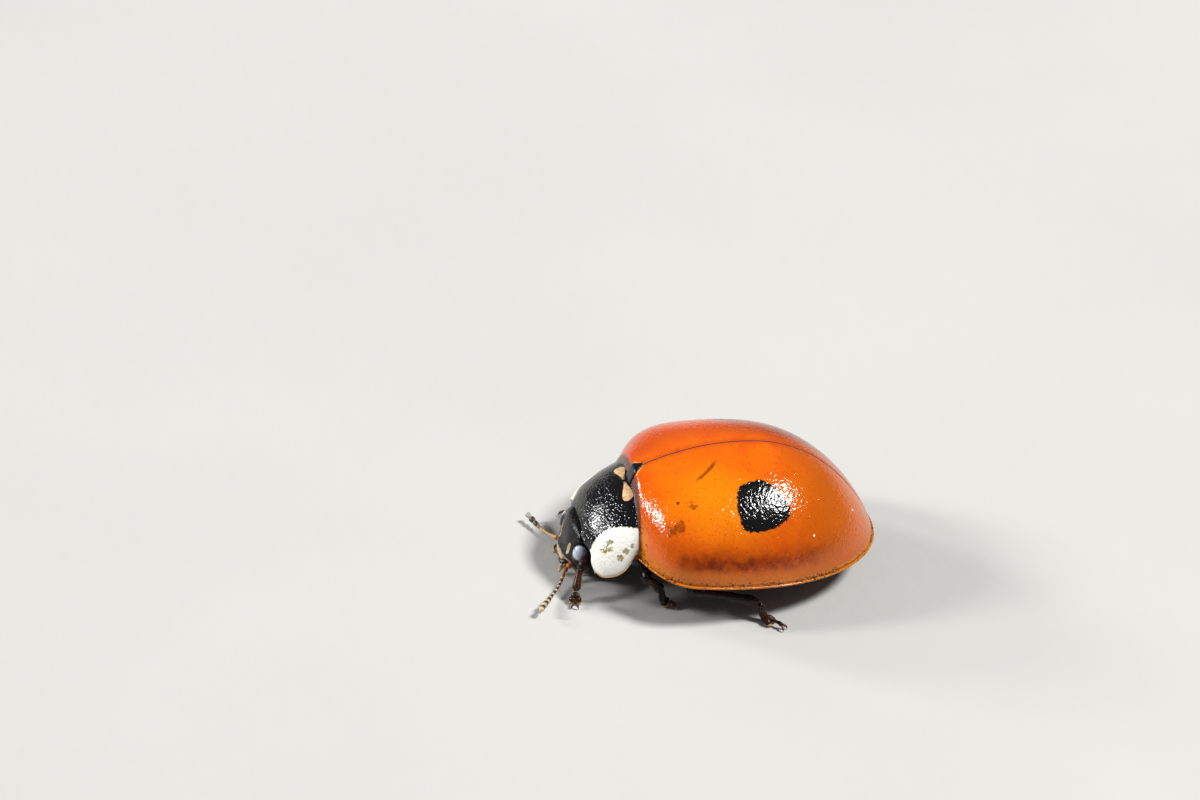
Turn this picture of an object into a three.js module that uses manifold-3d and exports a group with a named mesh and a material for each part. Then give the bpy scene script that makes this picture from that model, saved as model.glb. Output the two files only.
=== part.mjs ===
// A two-spot ladybird, Adalia bipunctata, standing still on a flat floor.
// Millimetres, +Z up. The head points along -Y and the left side of the body lies at +X.
//
// The body is drawn in its own frame: x to the left, y backwards from the front edge of the wing
// cases, z up from their rim. STANCE then pitches that frame nose up and lifts it over the floor.
// The legs are drawn straight in the floor's frame.
import * as THREE from 'three';
import { mergeVertices } from 'three/addons/utils/BufferGeometryUtils.js';
import Module from 'manifold-3d';

const wasm = await Module();
wasm.setup();

// ---- Stance ----
const RIM_HEIGHT = 0.83;         // rim of the wing cases over the floor, at their front edge
const NOSE_UP = 4.5;             // degrees
const MIDDLE_Y = 1.08;           // the middle of the whole animal, behind the wing cases' front edge
const GAP = 0.012;               // clearance between neighbouring pieces

// ---- Wing cases ----
const ELYTRA = {
  length: 3.9,
  half: 1.889,                   // half width at the widest
  height: 1.473,                 // rim to the top of the dome
  widestAt: 0.247,               // both of these as a fraction of the length
  highestAt: 0.481,
  frontHalf: 0.57,               // width and height at the front edge, as a fraction of the most
  frontHeight: 0.625,
};
const WALL = 0.5;                // thickness of a wing case
const LIP = 0.04;                // depth of the rim below the dome
const TAIL_CUT = 0.999;          // the last ring of a dome, as a fraction of its length
const FLANK_POWER = 1.18;        // how much the dome's flanks lean in, seen from the front
const SHOULDER_FLANK_POWER = 0.86;  // the same at the front edge, where the shoulders stand out
const SHOULDER_POWER = 2.95;     // how sharply the shoulder turns, seen from above
const TAIL_POWER = 2.25;         // how blunt the tail is, seen from above
const CREST_FRONT_POWER = 2.08;  // the same two, seen from the side
const CREST_TAIL_POWER = 1.976;
const CREST_TAIL_ROOT = 1.235;

// ---- Scutellum ----
const SCUTELLUM_HALF = 0.14;
const SCUTELLUM_LENGTH = 0.14;
const SCUTELLUM_ROOT = 0.05;     // how far its wedge is drawn ahead of the wing cases

// ---- Pronotum, from its front edge to its back edge ----
const SHIELD_CREST = [[0, -0.8, -0.06], [0, -0.62, 0.25], [0, -0.33, 0.55], [0, -0.03, 0.74]];
const SHIELD_MARGIN = [
  [0.97, -0.63, -0.37], [1.13, -0.49, -0.36], [1.19, -0.24, -0.22], [1.11, -0.04, 0.12],
];
const SHIELD_FLANK_POWER = 1.18; // how much the shield's flanks lean in
const SHIELD_FRONT_WALL = 0.14;
const SHIELD_BACK_WALL = 0.34;

// ---- Trunk under the wing cases ----
const BELLY_DEPTH = 0.42;        // how far the underside hangs below the rim, at its deepest
const DEEPEST_AT = 0.2;          // as a fraction of the wing cases' length
const BELLY_TAPER = 0.75;
const BELLY_POWER = 1.6;
const TRUNK_FRONT = 0.55;        // how far the trunk reaches ahead of the wing cases
const WAIST_Y = 1.05;            // where the thorax meets the abdomen
const STERNUM = { centre: [0, 0.25, -0.16], half: [1.02, 0.86, 0.27], power: 2.6 };

// ---- Head ----
const HEAD = { centre: [0, -0.72, -0.4], half: [0.5, 0.29, 0.42], power: 2.3 };
const NECK = { centre: [0, -0.45, -0.3], half: [0.36, 0.3, 0.3], power: 2 };
const EYE = { centre: [0.5, -0.8, -0.34], half: [0.14, 0.14, 0.2], power: 2 };
const MUZZLE = { centre: [0, -0.93, -0.76], half: [0.25, 0.15, 0.11], power: 2.4 };
const PALP_ROOT = [0.14, -0.93, -0.76];
const PALP_TIP = [0.3, -1.01, -0.77];
const PALP_RADIUS = 0.075;

// ---- Feelers: they leave the head low at its sides, and the left one reaches further out ----
const FEELER_RADIUS = 0.21;
const CLUB_RADIUS = 0.24;
const FEELERS = {
  left: [[0.36, -0.86, 0.3], [0.7, -1.08, 0.31], [1.06, -1.32, 0.28], [1.42, -1.5, 0.27]],
  right: [[-0.36, -0.86, 0.3], [-0.55, -1.04, 0.32], [-0.74, -1.2, 0.3], [-0.92, -1.3, 0.27]],
};

// ---- Legs ----
const HIP_RADIUS = 0.19;
const KNEE_RADIUS = 0.24;
const TIBIA_RADIUS = 0.22;       // at its lower end
const TARSUS_RADIUS = 0.24;
const TARSUS_AXIS = 0.19;        // height of a tarsus' middle over the floor, so that its sole is flat
const TIBIA_END = 0.27;          // height of a tibia's lower end
const LIMB_SIDES = 8;
// Where each leg bends: x out to its side, y behind the wing cases' front edge, z over the floor.
const LEGS = {
  front_left: {
    hip: [0.3, -0.34, 0.4], knee: [0.78, -0.74, 0.5],
    ankle: [1.0, -0.88], toe: [1.3, -0.98],
  },
  mid_left: {
    hip: [0.42, 0.26, 0.4], knee: [1.4, 0.02, 0.62],
    ankle: [1.33, 0.26], toe: [1.42, 0.66],
  },
  hind_left: {
    hip: [0.5, 0.97, 0.38], knee: [1.6, 0.92, 0.46],
    ankle: [1.92, 1.7], toe: [2.12, 2.16],
  },
  front_right: {
    hip: [0.3, -0.34, 0.4], knee: [0.86, -0.5, 0.52],
    ankle: [1.06, -0.56], toe: [1.42, -0.72],
  },
  mid_right: {
    hip: [0.42, 0.26, 0.4], knee: [1.4, 0.08, 0.6],
    ankle: [1.62, 0.22], toe: [1.98, 0.38],
  },
  hind_right: {
    hip: [0.5, 0.97, 0.38], knee: [1.5, 1.06, 0.46],
    ankle: [1.82, 1.5], toe: [2.1, 1.84],
  },
};
const FAR = 9;                   // the reach of a cutting box, well past the animal

const BLACK = { color: 0x0c0b0c, roughness: 0.28, metalness: 0 };
const ORANGE = { color: 0xe25a08, roughness: 0.25, metalness: 0 };
const SHIELD_BLACK = { color: 0x0d0d10, roughness: 0.25, metalness: 0 };
const EYE_GREY = { color: 0x1b1c24, roughness: 0.3, metalness: 0 };
const FEELER_BROWN = { color: 0x8a5a2a, roughness: 0.45, metalness: 0 };
const MOUTH_CREAM = { color: 0xa58e6c, roughness: 0.45, metalness: 0 };

const STANCE = new THREE.Matrix4()
  .makeTranslation(0, -MIDDLE_Y, RIM_HEIGHT)
  .multiply(new THREE.Matrix4().makeRotationX(-THREE.MathUtils.degToRad(NOSE_UP)));
const TO_MIDDLE = new THREE.Matrix4().makeTranslation(0, -MIDDLE_Y, 0);

const ladybird = new THREE.Group();

// ---------------------------------------------------------------- solids

// A closed geometry as a solid, with its faces turned outwards whichever way its rings ran.
function solidOf(geometry, placing) {
  const bare = geometry.clone().applyMatrix4(placing);
  bare.deleteAttribute('normal');
  bare.deleteAttribute('uv');
  const merged = mergeVertices(bare, 1e-5);
  const vertProperties = new Float32Array(merged.attributes.position.array);
  const triVerts = new Uint32Array(merged.index.array);
  if (signedVolume(vertProperties, triVerts) < 0) {
    for (let i = 0; i < triVerts.length; i += 3) {
      [triVerts[i], triVerts[i + 1]] = [triVerts[i + 1], triVerts[i]];
    }
  }
  return new wasm.Manifold(new wasm.Mesh({ numProp: 3, vertProperties, triVerts }));
}

function signedVolume(positions, corners) {
  const [a, b, c] = [new THREE.Vector3(), new THREE.Vector3(), new THREE.Vector3()];
  let sum = 0;
  for (let i = 0; i < corners.length; i += 3) {
    a.fromArray(positions, 3 * corners[i]);
    b.fromArray(positions, 3 * corners[i + 1]);
    c.fromArray(positions, 3 * corners[i + 2]);
    sum += a.dot(b.cross(c)) / 6;
  }
  return sum;
}

function geometryOf(solid) {
  const { vertProperties, triVerts } = solid.getMesh();
  const geometry = new THREE.BufferGeometry();
  geometry.setAttribute('position', new THREE.BufferAttribute(vertProperties, 3));
  geometry.setIndex(new THREE.BufferAttribute(triVerts, 1));
  geometry.computeVertexNormals();
  return geometry;
}

// Adds a piece under its name, without the crumbs that a cut may have parted from it.
function addPiece(name, solid, finish) {
  const [largest] = solid.decompose().sort((one, other) => other.volume() - one.volume());
  const mesh = new THREE.Mesh(geometryOf(largest), new THREE.MeshStandardMaterial(finish));
  mesh.name = name;
  ladybird.add(mesh);
}

function without(solid, ...cutters) {
  return cutters.reduce((left, cutter) => left.subtract(cutter), solid);
}

// ---------------------------------------------------------------- shapes

// Joins rings of equally many points into a closed shape, with a fan over the first and the last.
function loft(rings) {
  const count = rings[0].length;
  const points = rings.flat();
  const corners = [];
  for (let row = 0; row + 1 < rings.length; row++) {
    for (let side = 0; side < count; side++) {
      const here = row * count + side;
      const next = row * count + (side + 1) % count;
      corners.push(here, next, next + count, here, next + count, here + count);
    }
  }
  for (const row of [0, rings.length - 1]) {
    const hub = points.length;
    const middle = rings[row].reduce((sum, point) => sum.add(point), new THREE.Vector3());
    points.push(middle.divideScalar(count));
    for (let side = 0; side < count; side++) {
      const here = row * count + side;
      const next = row * count + (side + 1) % count;
      corners.push(hub, ...(row === 0 ? [next, here] : [here, next]));
    }
  }
  return new THREE.BufferGeometry().setFromPoints(points).setIndex(corners);
}

// A sphere pressed into a superellipsoid: power 2 is round, more is boxier.
function blob({ centre, half, power }, { grow = 0, across = 16, along = 12 } = {}) {
  const geometry = new THREE.SphereGeometry(1, across, along);
  const position = geometry.attributes.position;
  for (let i = 0; i < position.count; i++) {
    const point = [position.getX(i), position.getY(i), position.getZ(i)].map((value, axis) => {
      const pressed = Math.sign(value) * Math.abs(value) ** (2 / power);
      return centre[axis] + pressed * (half[axis] + grow);
    });
    position.setXYZ(i, ...point);
  }
  return geometry;
}

// A limb: a round-ended sweep along a smooth line through the points, one radius to each point.
function limb(points, radii, { grow = 0, steps = 5, sides = LIMB_SIDES } = {}) {
  const line = new THREE.CatmullRomCurve3(points, false, 'centripetal');
  const up = new THREE.Vector3(0, 0, 1);
  const rings = [];
  const addRing = (at, lean) => {
    const place = Math.min(at * (radii.length - 1), radii.length - 1 - 1e-9);
    const first = Math.floor(place);
    const radius = THREE.MathUtils.lerp(radii[first], radii[first + 1], place - first) + grow;
    const along = line.getTangent(at);
    const across = new THREE.Vector3().crossVectors(along, up).normalize();
    const over = new THREE.Vector3().crossVectors(across, along);
    const centre = line.getPoint(at).addScaledVector(along, radius * Math.sin(lean));
    const ring = [];
    for (let side = 0; side < sides; side++) {
      const turn = 2 * Math.PI * (side + 0.5) / sides;
      ring.push(centre.clone()
        .addScaledVector(across, radius * Math.cos(lean) * Math.cos(turn))
        .addScaledVector(over, radius * Math.cos(lean) * Math.sin(turn)));
    }
    rings.push(ring);
  };
  const endLeans = [75, 42].map(THREE.MathUtils.degToRad);
  endLeans.forEach((lean) => addRing(0, -lean));
  for (let step = 0; step <= steps; step++) {
    addRing(step / steps, 0);
  }
  endLeans.toReversed().forEach((lean) => addRing(1, lean));
  return loft(rings);
}

const point = (x, y, z) => new THREE.Vector3(x, y, z);
const sided = ([x, y, z], side) => point(side * x, y, z);
const rise = (value, power) => Math.max(value, 0) ** power;

// Half width and height of a wing-case dome at a fraction of its length.
function domeSize(at, dome) {
  const { half, height, widestAt, highestAt, frontHalf, frontHeight } = dome;
  const width = at < widestAt
    ? 1 - (1 - frontHalf) * rise((widestAt - at) / widestAt, SHOULDER_POWER)
    : rise(1 - rise((at - widestAt) / (1 - widestAt), TAIL_POWER), 0.5);
  const crest = at < highestAt
    ? 1 - (1 - frontHeight) * rise((highestAt - at) / highestAt, CREST_FRONT_POWER)
    : rise(1 - rise((at - highestAt) / (1 - highestAt), CREST_TAIL_POWER), 1 / CREST_TAIL_ROOT);
  return { half: half * width, height: height * crest };
}

// One ring of a dome: the arch over the back, then the underside, bowed down by `belly`.
function domeRing(at, y, dome, floorZ, belly, archSteps) {
  const size = domeSize(at, dome);
  const shoulder = rise(1 - at / ELYTRA.highestAt, 2);
  const power = THREE.MathUtils.lerp(FLANK_POWER, SHOULDER_FLANK_POWER, shoulder);
  const ring = [];
  for (let step = 0; step <= archSteps; step++) {
    const turn = Math.PI * step / archSteps;
    const lift = step === archSteps ? 0 : Math.sin(turn) ** power;
    ring.push(point(size.half * Math.cos(turn), y, size.height * lift));
  }
  const underSteps = belly > 0 ? Math.round(archSteps / 2) : 1;
  for (let step = 0; step <= underSteps; step++) {
    const share = step / underSteps;
    const bow = belly * (1 - (2 * share - 1) ** 4);
    ring.push(point(size.half * (2 * share - 1), y, floorZ - bow));
  }
  return ring;
}

// A solid dome, with its rings closer together at both ends. `before` carries its front section
// forward, and `hang` gives the depth of the belly at a fraction of the length.
function domeSolid(dome, { floorZ, before = 0, hang = () => 0, rows = 11, arch = 12 }) {
  const rings = [];
  if (before > 0) {
    rings.push(domeRing(0, -before, dome, floorZ, hang(0), arch));
  }
  for (let row = 0; row <= rows; row++) {
    const at = TAIL_CUT * (1 - Math.cos(Math.PI * row / rows)) / 2;
    rings.push(domeRing(at, at * dome.length, dome, floorZ, hang(at), arch));
  }
  return solidOf(loft(rings), STANCE);
}

// The wing-case dome moved inwards by a distance on every side.
function domeInside(distance) {
  return {
    ...ELYTRA,
    length: ELYTRA.length - distance,
    half: ELYTRA.half - distance,
    height: ELYTRA.height - distance,
    frontHalf: (ELYTRA.half * ELYTRA.frontHalf - distance) / (ELYTRA.half - distance),
    frontHeight: (ELYTRA.height * ELYTRA.frontHeight - distance) / (ELYTRA.height - distance),
  };
}

function boxSolid(low, high, placing) {
  const size = high.map((value, axis) => value - low[axis]);
  const box = new THREE.BoxGeometry(...size);
  box.translate(...low.map((value, axis) => value + size[axis] / 2));
  return solidOf(box, placing);
}

// ---------------------------------------------------------------- pronotum

// The shield over the front of the thorax hangs between a line down its middle and its margin.
const shieldCrest = new THREE.CatmullRomCurve3(SHIELD_CREST.map((place) => point(...place)));
const shieldMargin = new THREE.CatmullRomCurve3(SHIELD_MARGIN.map((place) => point(...place)));

// A point of the shield: `across` from -1 to 1, `along` from the front edge to the back one.
function shieldPoint(across, along, inwards) {
  const crest = shieldCrest.getPoint(along);
  const margin = shieldMargin.getPoint(along);
  const turn = across * Math.PI / 2;
  const lift = Math.abs(across) === 1 ? 0 : Math.cos(turn) ** SHIELD_FLANK_POWER;
  const reach = Math.max(margin.x - inwards, 0);
  return point(
    reach * Math.sin(turn),
    margin.y + (crest.y - margin.y) * lift,
    margin.z + (crest.z - margin.z - inwards) * lift,
  );
}

function shield(extra) {
  const [acrossSteps, alongSteps] = [18, 7];
  const rings = [];
  for (let row = 0; row <= alongSteps; row++) {
    const along = row / alongSteps;
    const wall = THREE.MathUtils.lerp(SHIELD_FRONT_WALL, SHIELD_BACK_WALL, along) + extra;
    const ring = [];
    for (let step = 0; step <= acrossSteps; step++) {
      ring.push(shieldPoint(2 * step / acrossSteps - 1, along, 0));
    }
    for (let step = acrossSteps; step >= 0; step--) {
      ring.push(shieldPoint(2 * step / acrossSteps - 1, along, wall));
    }
    rings.push(ring);
  }
  return rings;
}

// Closes the rings of an arch, whose ends are strips between its outer and its inner line.
function archSolid(rings) {
  const count = rings[0].length;
  const points = rings.flat();
  const corners = [];
  const quad = (a, b, c, d) => corners.push(a, b, c, a, c, d);
  for (let row = 0; row + 1 < rings.length; row++) {
    for (let side = 0; side < count; side++) {
      const here = row * count + side;
      const next = row * count + (side + 1) % count;
      quad(here, next, next + count, here + count);
    }
  }
  const last = (rings.length - 1) * count;
  for (let side = 0; side + 1 < count / 2; side++) {
    const facing = count - 1 - side;
    quad(side + 1, side, facing, facing - 1);
    quad(last + side, last + side + 1, last + facing - 1, last + facing);
  }
  return solidOf(new THREE.BufferGeometry().setFromPoints(points).setIndex(corners), STANCE);
}

const pronotum = archSolid(shield(0));
const pronotumRoom = archSolid(shield(GAP));

// ---------------------------------------------------------------- wing cases and scutellum

const dome = domeSolid(ELYTRA, { floorZ: -LIP, rows: 20, arch: 24 });
const cavity = domeSolid(domeInside(WALL), { floorZ: -3 * LIP, before: WALL });
const shell = dome.subtract(cavity);

function scutellumWedge(grow) {
  const outline = new THREE.Shape();
  outline.moveTo(-SCUTELLUM_HALF - 2 * grow, -SCUTELLUM_ROOT);
  outline.lineTo(SCUTELLUM_HALF + 2 * grow, -SCUTELLUM_ROOT);
  outline.lineTo(SCUTELLUM_HALF + 2 * grow, 0);
  outline.lineTo(0, SCUTELLUM_LENGTH + 2 * grow);
  outline.lineTo(-SCUTELLUM_HALF - 2 * grow, 0);
  const prism = new THREE.ExtrudeGeometry(outline, { depth: ELYTRA.height, bevelEnabled: false });
  return solidOf(prism, STANCE);
}

for (const [name, side] of [['elytron_left', 1], ['elytron_right', -1]]) {
  const [inner, outer] = [side * GAP / 2, side * FAR];
  const low = [Math.min(inner, outer), -FAR, -FAR];
  const high = [Math.max(inner, outer), FAR, FAR];
  const half = shell.intersect(boxSolid(low, high, STANCE));
  addPiece(name, half.subtract(scutellumWedge(GAP)), ORANGE);
}
addPiece('scutellum', shell.intersect(scutellumWedge(0)), SHIELD_BLACK);
addPiece('pronotum', pronotum, SHIELD_BLACK);

// ---------------------------------------------------------------- head

function eyeSolid(side, grow) {
  const place = { ...EYE, centre: sided(EYE.centre, side).toArray() };
  return solidOf(blob(place, { grow, across: 12, along: 8 }), STANCE);
}

function feelerSolid(name, grow) {
  const radii = [FEELER_RADIUS, FEELER_RADIUS, FEELER_RADIUS, CLUB_RADIUS];
  const line = FEELERS[name].map((place) => point(...place));
  return solidOf(limb(line, radii, { grow, steps: 6 }), TO_MIDDLE);
}

function muzzleSolid(grow) {
  let solid = solidOf(blob(MUZZLE, { grow, across: 12, along: 6 }), STANCE);
  for (const side of [1, -1]) {
    const line = [sided(PALP_ROOT, side), sided(PALP_TIP, side)];
    const palp = limb(line, [PALP_RADIUS, PALP_RADIUS], { grow, steps: 1, sides: 6 });
    solid = solid.add(solidOf(palp, STANCE));
  }
  return solid;
}

function headSolid(grow) {
  const skull = solidOf(blob(HEAD, { grow }), STANCE);
  return skull.add(solidOf(blob(NECK, { grow, across: 10, along: 6 }), STANCE));
}

const eyeRooms = [eyeSolid(1, GAP), eyeSolid(-1, GAP)];
const headRoom = headSolid(GAP);
const muzzleRoom = muzzleSolid(GAP);
const feelerRooms = ['left', 'right'].map((name) => feelerSolid(name, GAP));

addPiece('head', without(headSolid(0), pronotumRoom, ...eyeRooms, muzzleRoom), BLACK);
addPiece('eye_left', eyeSolid(1, 0).subtract(pronotumRoom), EYE_GREY);
addPiece('eye_right', eyeSolid(-1, 0).subtract(pronotumRoom), EYE_GREY);
addPiece('mouthparts', muzzleSolid(0), MOUTH_CREAM);
for (const name of ['left', 'right']) {
  const feeler = without(feelerSolid(name, 0), headRoom, muzzleRoom, ...eyeRooms);
  addPiece(`antenna_${name}`, feeler, FEELER_BROWN);
}

// ---------------------------------------------------------------- thorax and abdomen

// The trunk fills the wing cases and bows down under them, deepest behind the middle legs.
function trunkSolid(grow) {
  return domeSolid(domeInside(WALL + GAP - grow), {
    floorZ: -2 * LIP,
    before: TRUNK_FRONT + grow,
    hang: (at) => {
      const taper = 1 - BELLY_TAPER * Math.abs(at - DEEPEST_AT) ** BELLY_POWER;
      return (BELLY_DEPTH - 2 * LIP) * taper + grow;
    },
  });
}

function sternumSolid(grow) {
  return solidOf(blob(STERNUM, { grow, across: 14, along: 8 }), STANCE);
}

const underShell = boxSolid([-FAR, -FAR, -FAR], [FAR, FAR, -LIP - GAP], STANCE);
const aheadOfWaist = boxSolid([-FAR, -FAR, -FAR], [FAR, WAIST_Y - GAP / 2, FAR], STANCE);
const behindWaist = boxSolid([-FAR, WAIST_Y + GAP / 2, -FAR], [FAR, FAR, FAR], STANCE);

const trunk = trunkSolid(0);
const breast = trunk.add(sternumSolid(0).intersect(underShell)).intersect(aheadOfWaist);
addPiece('thorax', without(breast, pronotumRoom, headRoom, muzzleRoom), BLACK);
addPiece('abdomen', trunk.intersect(behindWaist), BLACK);

// ---------------------------------------------------------------- legs

// The half of space beyond a point, in a direction, as a large box.
function beyond(place, direction) {
  const box = new THREE.BoxGeometry(FAR, FAR, FAR);
  box.translate(0, 0, FAR / 2);
  const turn = new THREE.Quaternion().setFromUnitVectors(point(0, 0, 1), direction.clone().normalize());
  box.applyQuaternion(turn);
  box.translate(place.x, place.y, place.z);
  return solidOf(box, TO_MIDDLE);
}

// Parts a leg at a bend, square across it, and returns the two sides' halves of space.
function mitre(before, bend, after) {
  const forwards = bend.clone().sub(before).normalize().add(after.clone().sub(bend).normalize());
  forwards.normalize();
  return [
    beyond(bend.clone().addScaledVector(forwards, GAP / 2), forwards),
    beyond(bend.clone().addScaledVector(forwards, -GAP / 2), forwards.clone().negate()),
  ];
}

const sweep = (points, radii) => solidOf(limb(points, radii, { steps: 2 }), TO_MIDDLE);
const underground = boxSolid([-FAR, -FAR, -FAR], [FAR, FAR, 0], TO_MIDDLE);
const bodyRooms = [dome, trunkSolid(GAP), sternumSolid(GAP), pronotumRoom, headRoom, muzzleRoom];
const rooms = [underground, ...bodyRooms, ...eyeRooms, ...feelerRooms];

for (const [name, bends] of Object.entries(LEGS)) {
  const side = name.endsWith('left') ? 1 : -1;
  const hip = sided(bends.hip, side);
  const knee = sided(bends.knee, side);
  const ankle = sided([...bends.ankle, TIBIA_END], side);
  const heel = sided([...bends.ankle, TARSUS_AXIS], side);
  const toe = sided([...bends.toe, TARSUS_AXIS], side);
  toe.addScaledVector(toe.clone().sub(heel).normalize(), -TARSUS_RADIUS);
  const [pastKnee, beforeKnee] = mitre(hip, knee, ankle);
  const [pastAnkle, beforeAnkle] = mitre(knee, ankle, toe);

  const femur = sweep([hip, knee], [HIP_RADIUS, KNEE_RADIUS]);
  const tibia = sweep([knee, ankle], [KNEE_RADIUS, TIBIA_RADIUS]);
  const tarsus = sweep([heel, toe], [TARSUS_RADIUS, TARSUS_RADIUS]);
  addPiece(`femur_${name}`, without(femur, pastKnee, ...rooms), BLACK);
  addPiece(`tibia_${name}`, without(tibia, beforeKnee, pastAnkle, ...rooms), BLACK);
  addPiece(`tarsus_${name}`, without(tarsus, beforeAnkle, ...rooms), BLACK);
}

export default ladybird;
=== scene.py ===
"""A two-spot ladybird, Adalia bipunctata, standing on a plain pale floor."""
import math

import bmesh
import bpy
import numpy as np
from mathutils import Matrix


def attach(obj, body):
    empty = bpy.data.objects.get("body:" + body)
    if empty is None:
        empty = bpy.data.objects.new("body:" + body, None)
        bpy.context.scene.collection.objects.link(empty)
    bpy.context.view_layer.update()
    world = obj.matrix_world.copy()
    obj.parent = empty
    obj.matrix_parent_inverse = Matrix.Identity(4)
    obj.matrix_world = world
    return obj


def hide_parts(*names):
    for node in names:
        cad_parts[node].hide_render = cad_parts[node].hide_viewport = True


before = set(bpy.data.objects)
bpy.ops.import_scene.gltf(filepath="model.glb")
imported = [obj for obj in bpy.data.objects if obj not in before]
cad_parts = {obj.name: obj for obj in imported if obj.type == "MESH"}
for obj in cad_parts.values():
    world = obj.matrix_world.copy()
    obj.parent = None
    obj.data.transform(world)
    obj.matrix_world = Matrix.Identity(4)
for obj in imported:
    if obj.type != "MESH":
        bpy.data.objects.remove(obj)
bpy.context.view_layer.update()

# -------------------------------------------- floor, light and camera
# A sheet of matt card under the animal, softboxes either side of the lens and a soft fill.
# The lens is a long one, some 200 mm away.

MM = 0.001
scene = bpy.context.scene


class Value:
    """A socket of a node tree that takes part in Python sums."""

    def __init__(self, tree, socket):
        self.tree, self.socket = tree, socket

    def math(self, operation, *others):
        node = self.tree.nodes.new("ShaderNodeMath")
        node.operation = operation
        for place, term in enumerate((self, *others)):
            feed(self.tree, node.inputs[place], term)
        return Value(self.tree, node.outputs[0])

    def __add__(self, other):
        return self.math("ADD", other)

    def __sub__(self, other):
        return self.math("SUBTRACT", other)

    def __rsub__(self, other):
        return (self * -1).math("ADD", other)

    def __mul__(self, other):
        return self.math("MULTIPLY", other)

    def __truediv__(self, other):
        return self.math("DIVIDE", other)

    def __pow__(self, other):
        return self.math("POWER", other)

    def __abs__(self):
        return self.math("ABSOLUTE")

    def __neg__(self):
        return self * -1

    def most(self, other):
        return self.math("MAXIMUM", other)

    def step(self, low, high):
        """0 below low and 1 above high, or the other way round, with a smooth rise between."""
        node = self.tree.nodes.new("ShaderNodeMapRange")
        node.interpolation_type = "SMOOTHSTEP"
        feed(self.tree, node.inputs["Value"], self)
        node.inputs["From Min"].default_value, node.inputs["From Max"].default_value = low, high
        return Value(self.tree, node.outputs["Result"])

    __radd__, __rmul__ = __add__, __mul__


def feed(tree, socket, value):
    """Links a value, or sets a plain one."""
    if isinstance(value, Value):
        tree.links.new(value.socket, socket)
    else:
        socket.default_value = value


def shade(code):
    """A colour code of six hexadecimal digits, as light."""
    parts = [int(code[place:place + 2], 16) / 255 for place in (0, 2, 4)]
    return (*(c / 12.92 if c < 0.04045 else ((c + 0.055) / 1.055) ** 2.4 for c in parts), 1.0)


class Nodes:
    """A node tree in the making."""

    def __init__(self, tree):
        self.tree = tree

    def add(self, kind, settings=(), output=0, **inputs):
        """Adds a node: its settings come first, then the values or links of its sockets."""
        node = self.tree.nodes.new(kind)
        for name, value in dict(settings).items():
            setattr(node, name, value)
        for name, value in inputs.items():
            key = int(name[1:]) if name[1:].isdigit() else name.replace("_", " ")
            feed(self.tree, node.inputs[key], value)
        return Value(self.tree, node.outputs[output]) if node.outputs else None


class Finish(Nodes):
    """A material in the making: its tree, its Principled shader and the place of the shaded point."""

    def __init__(self, name, **surface):
        self.material = bpy.data.materials.new(name)
        self.material.use_nodes = True
        super().__init__(self.material.node_tree)
        self.surface = self.tree.nodes["Principled BSDF"]
        self.set(**surface)
        self.place = self.add("ShaderNodeTexCoord", output="Object")

    def set(self, **inputs):
        for name, value in inputs.items():
            feed(self.tree, self.surface.inputs[name.replace("_", " ")], value)

    def noise(self, size, detail=2.0, place=None):
        """Soft noise whose blotches are about `size` mm across."""
        return self.add("ShaderNodeTexNoise", Vector=place or self.place, Scale=1 / (size * MM),
                        Detail=detail)

    def cells(self, size, randomness=1.0):
        """The distance from the middle of the nearest of cells about `size` mm across."""
        return self.add("ShaderNodeTexVoronoi", output="Distance", Vector=self.place,
                        Scale=1 / (size * MM), Randomness=randomness)

    def mix(self, factor, low, high):
        """Goes from one colour to another."""
        return self.add("ShaderNodeMix", {"data_type": "RGBA"}, output=2, _0=factor, _6=low, _7=high)

    def stretched(self, scale, turn):
        return self.add("ShaderNodeMapping", Vector=self.place, Scale=scale, Rotation=turn)

    def kept(self, name):
        """A number that the mesh keeps at each of its points."""
        return self.add("ShaderNodeAttribute", {"attribute_name": name}, "Fac")

    def parts(self, vector):
        """The three numbers of a vector."""
        return [self.add("ShaderNodeSeparateXYZ", output=axis, Vector=vector) for axis in range(3)]

    def bump(self, height, depth, under=None):
        """Raises the surface by up to `depth` mm where the height is 1."""
        extra = {"Normal": under} if under else {}
        return self.add("ShaderNodeBump", output="Normal", Height=height, Distance=depth * MM,
                        Strength=1.0, **extra)


card = Finish("pale_card", Roughness=0.85)
mottle = card.noise(7.0, 6.0)
card.set(Base_Color=card.mix(mottle, shade("b3b2ae"), shade("bfbeba")),
         Normal=card.bump(card.noise(0.35, 4.0), 0.01))
CARD_RADIUS = 0.4
bpy.ops.mesh.primitive_circle_add(vertices=96, radius=CARD_RADIUS, fill_type="NGON")
floor = bpy.context.object
floor.name = "floor"
floor.data.materials.append(card.material)

world = bpy.data.worlds.new("studio")
world.use_nodes = True
world.node_tree.nodes["Background"].inputs["Color"].default_value = shade("eef1f4")
world.node_tree.nodes["Background"].inputs["Strength"].default_value = 0.16
scene.world = world
scene.view_settings.view_transform = "Standard"
LAMP_DISTANCE = 0.15


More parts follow.
